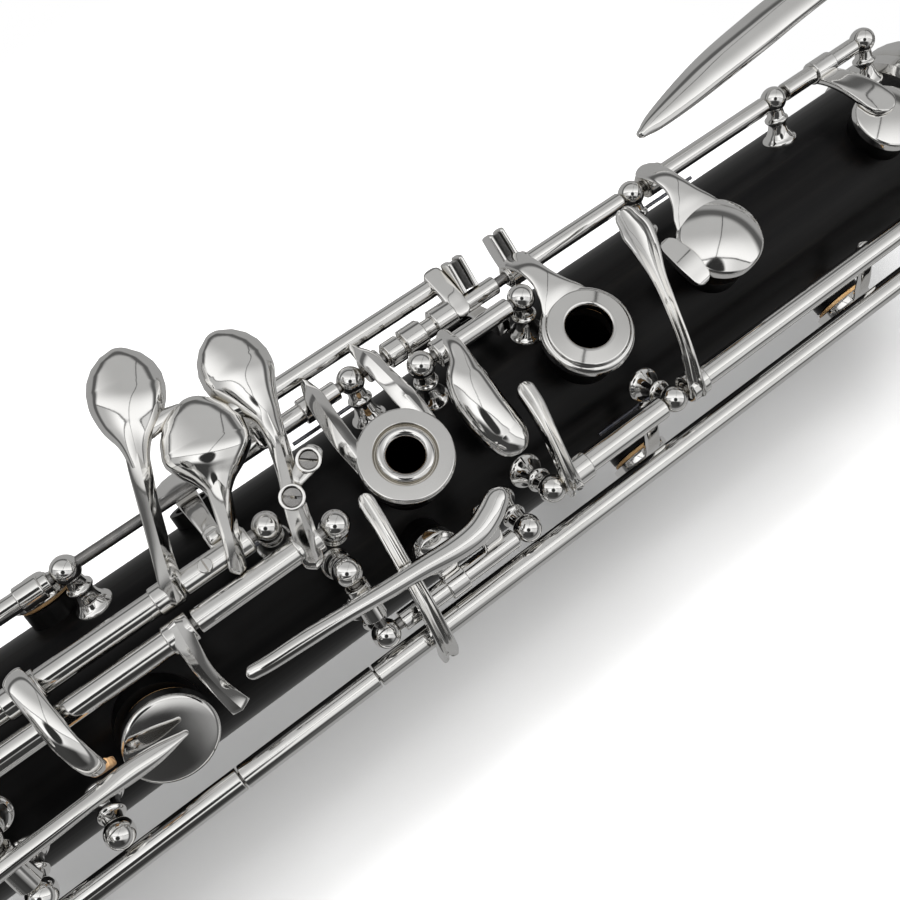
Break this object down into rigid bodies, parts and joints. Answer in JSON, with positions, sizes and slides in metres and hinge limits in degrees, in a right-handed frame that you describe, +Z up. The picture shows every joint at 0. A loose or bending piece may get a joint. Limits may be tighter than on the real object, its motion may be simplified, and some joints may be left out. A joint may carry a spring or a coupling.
{
  "type": "bass clarinet",
  "caption": "Bass clarinet to low E flat with plated keywork, upturned bell, curved neck and sliding floor peg, standing upright.",
  "frame": {"origin": "tip of the floor peg, on the axis of the bore", "axes": "+Z up the bore towards the mouthpiece, -Y out of the front where the keys are, +X to the player's left"},
  "size_m": [0.14, 0.3907, 1.0676],
  "materials": {
    "black_wood": "satin oiled",
    "plated": "polished nickel silver plate",
    "cork": "natural cork, dry",
    "pad_skin": "tan pad leather",
    "cane": "bare cane",
    "ebonite": "polished hard rubber",
    "steel": "ground steel",
    "spring_steel": "blued steel"
  },
  "bodies": {
    "clarinet_body": {"mouthpiece": "ebonite", "reed": "cane", "ligature_band": "plated", "neck": "plated", "upper_joint": "black_wood", "lower_joint": "black_wood", "joint_rings": "plated", "tenon_corks": "cork", "bell": "plated", "bell_socket": "plated", "peg_tube": "plated", "thumb_rest": "plated", "strap_ring": "plated", "lower_posts": "plated", "upper_posts": "plated", "lower_rods": "steel", "upper_rods": "steel", "needle_springs": "spring_steel"},
    "rh1_key": {"rh1_key": "plated", "rh1_pad": "pad_skin"},
    "rh2_key": {"rh2_key": "plated", "rh2_pad": "pad_skin"},
    "rh3_key": {"rh3_key": "plated", "rh3_pad": "pad_skin"},
    "stack_bridge": {"stack_bridge": "plated"},
    "sliver_key": {"sliver_key": "plated"},
    "low_e_key": {"low_e_key": "plated", "low_e_pad": "pad_skin"},
    "g_sharp_key": {"g_sharp_key": "plated"},
    "f_sharp_key": {"f_sharp_key": "plated"},
    "long_touch_key": {"long_touch_key": "plated"},
    "low_f_key": {"low_f_key": "plated", "low_f_pad": "pad_skin"},
    "rocker_key": {"rocker_key": "plated", "rocker_pad": "pad_skin"},
    "side_cup_key": {"side_cup_key": "plated", "side_cup_pad": "pad_skin"},
    "upper_cup_key": {"upper_cup_key": "plated", "upper_cup_pad": "pad_skin"},
    "cross_key": {"cross_key": "plated"},
    "trill_key": {"trill_key": "plated"},
    "left_lever_1": {"left_lever_1": "plated"},
    "long_rod_key": {"long_rod_key": "plated"},
    "left_lever_2": {"left_lever_2": "plated"},
    "tall_lever_key": {"tall_lever_key": "plated"},
    "lh1_key": {"lh1_key": "plated"},
    "lh2_key": {"lh2_key": "plated"},
    "lh3_key": {"lh3_key": "plated"},
    "throat_a_key": {"throat_a_key": "plated"},
    "throat_g_sharp_key": {"throat_g_sharp_key": "plated"},
    "thumb_key": {"thumb_key": "plated"},
    "register_key": {"register_key": "plated"},
    "neck_vent_key": {"neck_vent_key": "plated"},
    "side_key_1": {"side_key_1": "plated"},
    "side_key_2": {"side_key_2": "plated"},
    "floor_peg": {"floor_peg": "plated"},
    "peg_screw": {"peg_screw": "plated"},
    "ligature_screw_upper": {"ligature_screw_upper": "plated"},
    "ligature_screw_lower": {"ligature_screw_lower": "plated"}
  },
  "joints": [
    {"name": "rh1_key_turn", "type": "hinge", "parent": "clarinet_body", "child": "rh1_key", "pos_m": [-0.02068, -0.01559, 0.587], "axis": [0, 0, 1], "range_deg": [0, 5.4], "stiffness_Nm_per_rad": 0.12},
    {"name": "rh2_key_turn", "type": "hinge", "parent": "clarinet_body", "child": "rh2_key", "pos_m": [-0.02068, -0.01559, 0.552], "axis": [0, 0, 1], "range_deg": [0, 5.4], "stiffness_Nm_per_rad": 0.12},
    {"name": "rh3_key_turn", "type": "hinge", "parent": "clarinet_body", "child": "rh3_key", "pos_m": [-0.02068, -0.01559, 0.495], "axis": [0, 0, 1], "range_deg": [0, 5.4], "stiffness_Nm_per_rad": 0.12},
    {"name": "stack_bridge_turn", "type": "hinge", "parent": "clarinet_body", "child": "stack_bridge", "pos_m": [-0.02068, -0.01559, 0.523], "axis": [0, 0, 1], "range_deg": [0, 5.4], "stiffness_Nm_per_rad": 0.12},
    {"name": "sliver_key_turn", "type": "hinge", "parent": "clarinet_body", "child": "sliver_key", "pos_m": [-0.01559, -0.02068, 0.525], "axis": [0, 0, 1], "range_deg": [0, 5], "stiffness_Nm_per_rad": 0.12},
    {"name": "low_e_key_turn", "type": "hinge", "parent": "clarinet_body", "child": "low_e_key", "pos_m": [-0.00779, -0.0247, 0.386], "axis": [0, 0, 1], "range_deg": [-5, 0], "stiffness_Nm_per_rad": 0.12},
    {"name": "g_sharp_key_turn", "type": "hinge", "parent": "clarinet_body", "child": "g_sharp_key", "pos_m": [-0.00779, -0.0247, 0.468], "axis": [0, 0, 1], "range_deg": [-5, 0], "stiffness_Nm_per_rad": 0.12},
    {"name": "f_sharp_key_turn", "type": "hinge", "parent": "clarinet_body", "child": "f_sharp_key", "pos_m": [-0.00181, -0.02584, 0.472], "axis": [0, 0, 1], "range_deg": [-4, 0], "stiffness_Nm_per_rad": 0.12},
    {"name": "long_touch_key_turn", "type": "hinge", "parent": "clarinet_body", "child": "long_touch_key", "pos_m": [0.01102, -0.02259, 0.4836], "axis": [0.8988, 0.4384, 0], "range_deg": [-5, 0], "stiffness_Nm_per_rad": 0.12},
    {"name": "low_f_key_turn", "type": "hinge", "parent": "clarinet_body", "child": "low_f_key", "pos_m": [-0.00181, -0.02584, 0.415], "axis": [0, 0, 1], "range_deg": [-7, 0], "stiffness_Nm_per_rad": 0.12},
    {"name": "rocker_key_turn", "type": "hinge", "parent": "clarinet_body", "child": "rocker_key", "pos_m": [0.01221, -0.02181, 0.4196], "axis": [0.8725, 0.4886, 0], "range_deg": [0, 8], "stiffness_Nm_per_rad": 0.12},
    {"name": "side_cup_key_turn", "type": "hinge", "parent": "clarinet_body", "child": "side_cup_key", "pos_m": [-0.02068, -0.01559, 0.424], "axis": [0, 0, 1], "range_deg": [0, 8], "stiffness_Nm_per_rad": 0.12},
    {"name": "upper_cup_key_turn", "type": "hinge", "parent": "clarinet_body", "child": "upper_cup_key", "pos_m": [-0.02068, -0.01559, 0.619], "axis": [0, 0, 1], "range_deg": [-7, 0], "stiffness_Nm_per_rad": 0.12},
    {"name": "cross_key_turn", "type": "hinge", "parent": "clarinet_body", "child": "cross_key", "pos_m": [0.01448, -0.02147, 0.5345], "axis": [0, 0, 1], "range_deg": [-5, 0], "stiffness_Nm_per_rad": 0.12},
    {"name": "trill_key_turn", "type": "hinge", "parent": "clarinet_body", "child": "trill_key", "pos_m": [0.01766, -0.01894, 0.499], "axis": [0, 0, 1], "range_deg": [-10, 0], "stiffness_Nm_per_rad": 0.12},
    {"name": "left_lever_1_turn", "type": "hinge", "parent": "clarinet_body", "child": "left_lever_1", "pos_m": [0.02265, -0.01646, 0.694], "axis": [0, 0, 1], "range_deg": [0, 5], "stiffness_Nm_per_rad": 0.12},
    {"name": "long_rod_key_turn", "type": "hinge", "parent": "clarinet_body", "child": "long_rod_key", "pos_m": [0.02265, -0.01646, 0.4515], "axis": [0, 0, 1], "range_deg": [0, 3], "stiffness_Nm_per_rad": 0.12},
    {"name": "left_lever_2_turn", "type": "hinge", "parent": "clarinet_body", "child": "left_lever_2", "pos_m": [0.01448, -0.02147, 0.697], "axis": [0, 0, 1], "range_deg": [0, 6], "stiffness_Nm_per_rad": 0.12},
    {"name": "tall_lever_key_turn", "type": "hinge", "parent": "clarinet_body", "child": "tall_lever_key", "pos_m": [0.01448, -0.02147, 0.588], "axis": [0, 0, 1], "range_deg": [-5, 0], "stiffness_Nm_per_rad": 0.12},
    {"name": "lh1_key_turn", "type": "hinge", "parent": "clarinet_body", "child": "lh1_key", "pos_m": [-0.01925, -0.01733, 0.8925], "axis": [0, 0, 1], "range_deg": [0, 5.4], "stiffness_Nm_per_rad": 0.12},
    {"name": "lh2_key_turn", "type": "hinge", "parent": "clarinet_body", "child": "lh2_key", "pos_m": [-0.01925, -0.01733, 0.8555], "axis": [0, 0, 1], "range_deg": [0, 5.4], "stiffness_Nm_per_rad": 0.12},
    {"name": "lh3_key_turn", "type": "hinge", "parent": "clarinet_body", "child": "lh3_key", "pos_m": [-0.01925, -0.01733, 0.807], "axis": [0, 0, 1], "range_deg": [0, 5.4], "stiffness_Nm_per_rad": 0.12},
    {"name": "throat_a_key_turn", "type": "hinge", "parent": "clarinet_body", "child": "throat_a_key", "pos_m": [0.01595, -0.02041, 0.9275], "axis": [0, 0, 1], "range_deg": [-8, 0], "stiffness_Nm_per_rad": 0.12},
    {"name": "throat_g_sharp_key_turn", "type": "hinge", "parent": "clarinet_body", "child": "throat_g_sharp_key", "pos_m": [0.00271, -0.02576, 0.932], "axis": [0, 0, 1], "range_deg": [-8, 0], "stiffness_Nm_per_rad": 0.12},
    {"name": "thumb_key_turn", "type": "hinge", "parent": "clarinet_body", "child": "thumb_key", "pos_m": [0.01295, 0.02243, 0.87], "axis": [0, 0, 1], "range_deg": [0, 5], "stiffness_Nm_per_rad": 0.12},
    {"name": "register_key_turn", "type": "hinge", "parent": "clarinet_body", "child": "register_key", "pos_m": [-0.01372, 0.02196, 0.898], "axis": [0, 0, 1], "range_deg": [-8, 0], "stiffness_Nm_per_rad": 0.12},
    {"name": "neck_vent_key_turn", "type": "hinge", "parent": "clarinet_body", "child": "neck_vent_key", "pos_m": [0, 0.03571, 1.062], "axis": [1, 0, 0], "range_deg": [-8, 0], "stiffness_Nm_per_rad": 0.12},
    {"name": "side_key_1_turn", "type": "hinge", "parent": "clarinet_body", "child": "side_key_1", "pos_m": [-0.02673, -0.01362, 0.694], "axis": [0, 0, 1], "range_deg": [-6, 0], "stiffness_Nm_per_rad": 0.12},
    {"name": "side_key_2_turn", "type": "hinge", "parent": "clarinet_body", "child": "side_key_2", "pos_m": [-0.02673, -0.01362, 0.767], "axis": [0, 0, 1], "range_deg": [-6, 0], "stiffness_Nm_per_rad": 0.12},
    {"name": "peg_slide", "type": "slide", "parent": "clarinet_body", "child": "floor_peg", "axis": [0, 0, 1], "range_m": [-0.02, 0.02]},
    {"name": "peg_screw_turn", "type": "hinge", "parent": "clarinet_body", "child": "peg_screw", "pos_m": [0.012, 0, 0.07], "axis": [1, 0, 0], "range_deg": [-180, 180]},
    {"name": "ligature_screw_upper_turn", "type": "hinge", "parent": "clarinet_body", "child": "ligature_screw_upper", "pos_m": [0, 0.1481, 1.02437], "axis": [1, 0, 0], "range_deg": [-180, 180]},
    {"name": "ligature_screw_lower_turn", "type": "hinge", "parent": "clarinet_body", "child": "ligature_screw_lower", "pos_m": [0, 0.13411, 1.02388], "axis": [1, 0, 0], "range_deg": [-180, 180]}
  ],
  "couplings": [
    {"joint": "stack_bridge_turn", "follows": "rh2_key_turn", "ratio": 1},
    {"joint": "low_f_key_turn", "follows": "long_touch_key_turn", "ratio": 1.4},
    {"joint": "trill_key_turn", "follows": "long_touch_key_turn", "ratio": 2},
    {"joint": "long_rod_key_turn", "follows": "left_lever_1_turn", "ratio": 0.6},
    {"joint": "neck_vent_key_turn", "follows": "register_key_turn", "ratio": 1}
  ]
}
